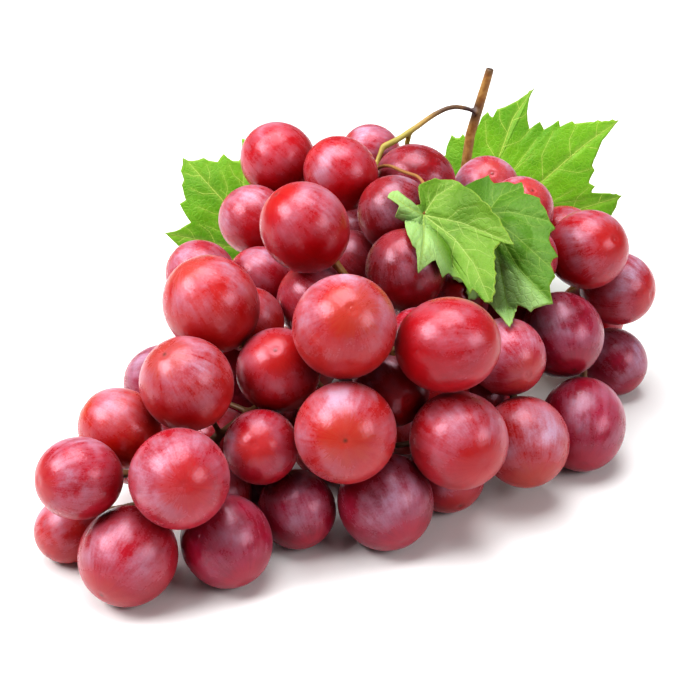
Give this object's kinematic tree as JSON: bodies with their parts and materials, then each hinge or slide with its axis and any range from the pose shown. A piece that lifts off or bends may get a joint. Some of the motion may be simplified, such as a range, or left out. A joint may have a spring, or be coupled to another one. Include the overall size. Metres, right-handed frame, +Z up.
{
  "type": "bunch of grapes",
  "caption": "Bunch of large red grapes lying on its side, with a woody cut stalk, a thin side shoot and lobed green vine leaves.",
  "frame": {"origin": "centre of the bunch's outline seen from above, on the surface it lies on", "axes": "+Z up from the surface, +X along the bunch from its tip towards the cut stalk, +Y away from the front side"},
  "size_m": [0.2444, 0.164, 0.0894],
  "materials": {
    "berries": "waxy bloom",
    "stem": "matte",
    "leaf_green": "satin",
    "leaf_light": "satin",
    "leaf_dark": "satin"
  },
  "bodies": {
    "root": {"berries_far_01": "berries", "berries_far_02": "berries", "berries_far_03": "berries", "berries_far_04": "berries", "berries_far_05": "berries", "berries_far_06": "berries", "berries_far_07": "berries", "berries_far_08": "berries", "berries_far_09": "berries", "berry_01": "berries", "berry_02": "berries", "berry_03": "berries", "berry_04": "berries", "berry_05": "berries", "berry_06": "berries", "berry_07": "berries", "berry_08": "berries", "berry_09": "berries", "berry_10": "berries", "berry_11": "berries", "berry_12": "berries", "berry_13": "berries", "berry_14": "berries", "berry_15": "berries", "berry_16": "berries", "berry_17": "berries", "berry_18": "berries", "berry_19": "berries", "berry_20": "berries", "berry_21": "berries", "berry_22": "berries", "berry_23": "berries", "berry_24": "berries", "berry_25": "berries", "berry_26": "berries", "berry_27": "berries", "berry_28": "berries", "berry_29": "berries", "berry_30": "berries", "berry_31": "berries", "berry_32": "berries", "berry_33": "berries", "berry_34": "berries", "berry_35": "berries", "berry_36": "berries", "berry_37": "berries", "berry_38": "berries", "berry_39": "berries", "berry_40": "berries", "berry_41": "berries", "berry_42": "berries", "berry_43": "berries", "berry_44": "berries", "berry_45": "berries", "leaf_back": "leaf_green", "leaf_front": "leaf_light", "leaf_left": "leaf_green", "leaf_under": "leaf_dark", "stem": "stem"}
  },
  "joints": []
}
